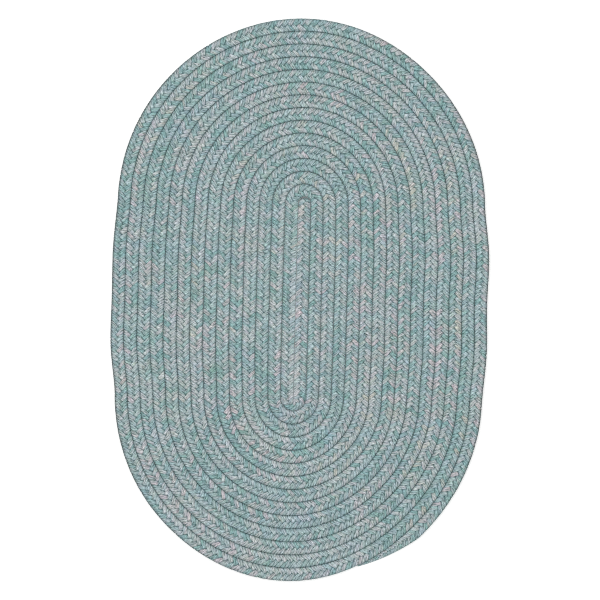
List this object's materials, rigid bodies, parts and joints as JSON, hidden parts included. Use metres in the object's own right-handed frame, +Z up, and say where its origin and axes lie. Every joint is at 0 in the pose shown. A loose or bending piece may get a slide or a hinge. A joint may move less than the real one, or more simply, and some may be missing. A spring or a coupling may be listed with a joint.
{
  "type": "oval braided rug",
  "caption": "Flat reversible oval rug: a single thick braid of mixed yarns coiled in an oval spiral, its turns sewn edge to edge, tapering away at the rim.",
  "frame": {"origin": "middle of the rug's outline, on the floor under it", "axes": "+Z up out of the upper face, +Y along the long axis towards the end where the coil starts, +X to the right seen from above"},
  "size_m": [0.6108, 0.912, 0.0113],
  "materials": {
    "spun_yarn": "matt spun yarns in grey, teal and pale aqua, braided"
  },
  "bodies": {
    "root": {"coiled_braid": "spun_yarn"}
  },
  "joints": []
}
